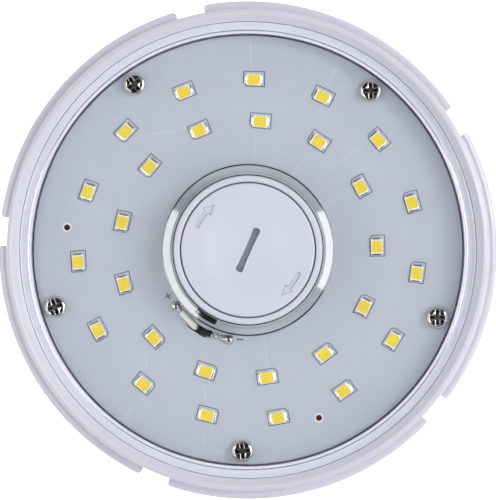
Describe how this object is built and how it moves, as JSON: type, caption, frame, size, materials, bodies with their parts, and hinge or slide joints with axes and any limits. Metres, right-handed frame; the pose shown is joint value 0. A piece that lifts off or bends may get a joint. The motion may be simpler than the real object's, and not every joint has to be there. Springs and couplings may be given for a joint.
{
  "type": "corn LED bulb",
  "caption": "LED corn bulb with a screw base, curved clear side modules, lit end face and a screwed port cap.",
  "frame": {"origin": "tip of the centre contact, on the lamp's axis", "axes": "+Z along the lamp's axis from the screw base towards the lit end, +X and +Y to the right and up when the lit end is seen from outside"},
  "size_m": [0.121, 0.121, 0.2808],
  "materials": {
    "tinned_brass": "tinned, soft shine",
    "black_glass": "glossy opaque black glass",
    "plated_shell": "bright nickel plate",
    "white_housing": "moulded, half gloss",
    "white_frame": "moulded, half gloss",
    "white_port": "moulded, half gloss",
    "driver_board_green": "glass-epoxy board with green mask",
    "ferrite_and_tape": "ferrite core and taped winding",
    "capacitor_sleeve": "shrunk sleeve",
    "choke_winding": "enamelled wire",
    "black_epoxy": "moulded",
    "zinc_screw": "bright zinc plate",
    "plate_aluminium": "mill finish",
    "sink_aluminium": "white-coated extrusion",
    "board_mask": "pale blue-grey solder mask on aluminium",
    "strip_mask": "white solder mask on aluminium",
    "led_body": "moulded white",
    "led_gel": "phosphor gel",
    "clear_lens": "clear polycarbonate",
    "clear_cover": "clear polycarbonate",
    "white_silicone": "silicone",
    "grey_rubber": "moulded",
    "black_socket": "moulded",
    "lead_white": "insulated wire",
    "lead_black": "insulated wire",
    "solder": "bright solder"
  },
  "bodies": {
    "lamp": {"centre_contact": "tinned_brass", "base_insulator": "black_glass", "screw_shell": "plated_shell", "driver_housing": "white_housing", "driver_board": "driver_board_green", "transformer": "ferrite_and_tape", "capacitors": "capacitor_sleeve", "choke": "choke_winding", "rectifier": "black_epoxy", "mains_wires": "lead_white", "lower_screws": "zinc_screw", "sink_screws": "zinc_screw", "lower_frame": "white_frame", "base_plate": "plate_aluminium", "end_frame": "white_frame", "end_plate": "plate_aluminium", "end_board": "board_mask", "end_led_frames": "led_body", "end_led_gels": "led_gel", "board_screws": "zinc_screw", "lens": "clear_lens", "lens_outer_gasket": "white_silicone", "port_tube": "white_port", "port_socket": "black_socket", "socket_leads": "lead_black", "module_leads": "lead_white", "module_joints": "solder", "supply_wire_white": "lead_white", "supply_wire_black": "lead_black", "solder_joints": "solder", "side_sink_1": "sink_aluminium", "side_sink_2": "sink_aluminium", "side_sink_3": "sink_aluminium", "side_sink_4": "sink_aluminium", "side_sink_5": "sink_aluminium", "led_strips_1": "strip_mask", "led_strips_2": "strip_mask", "led_strips_3": "strip_mask", "led_strips_4": "strip_mask", "led_strips_5": "strip_mask", "strip_leds_1": "led_body", "strip_leds_2": "led_body", "strip_leds_3": "led_body", "strip_leds_4": "led_body", "strip_leds_5": "led_body", "strip_screws_1": "zinc_screw", "strip_screws_2": "zinc_screw", "strip_screws_3": "zinc_screw", "strip_screws_4": "zinc_screw", "strip_screws_5": "zinc_screw", "side_cover_1": "clear_cover", "side_cover_2": "clear_cover", "side_cover_3": "clear_cover", "side_cover_4": "clear_cover", "side_cover_5": "clear_cover"},
    "cap_lifter": {"cap_gasket": "grey_rubber"},
    "cap": {"port_cap": "white_port"}
  },
  "joints": [
    {"name": "cap_lift", "type": "slide", "parent": "lamp", "child": "cap_lifter", "axis": [0, 0, 1], "range_m": [0, 0.00601]},
    {"name": "cap_twist", "type": "hinge", "parent": "cap_lifter", "child": "cap", "pos_m": [0, 0, 0.2808], "axis": [0, 0, 1], "range_deg": [0, 1080]}
  ],
  "couplings": [
    {"joint": "cap_lift", "follows": "cap_twist", "m_per_rad": 0.00031831}
  ]
}
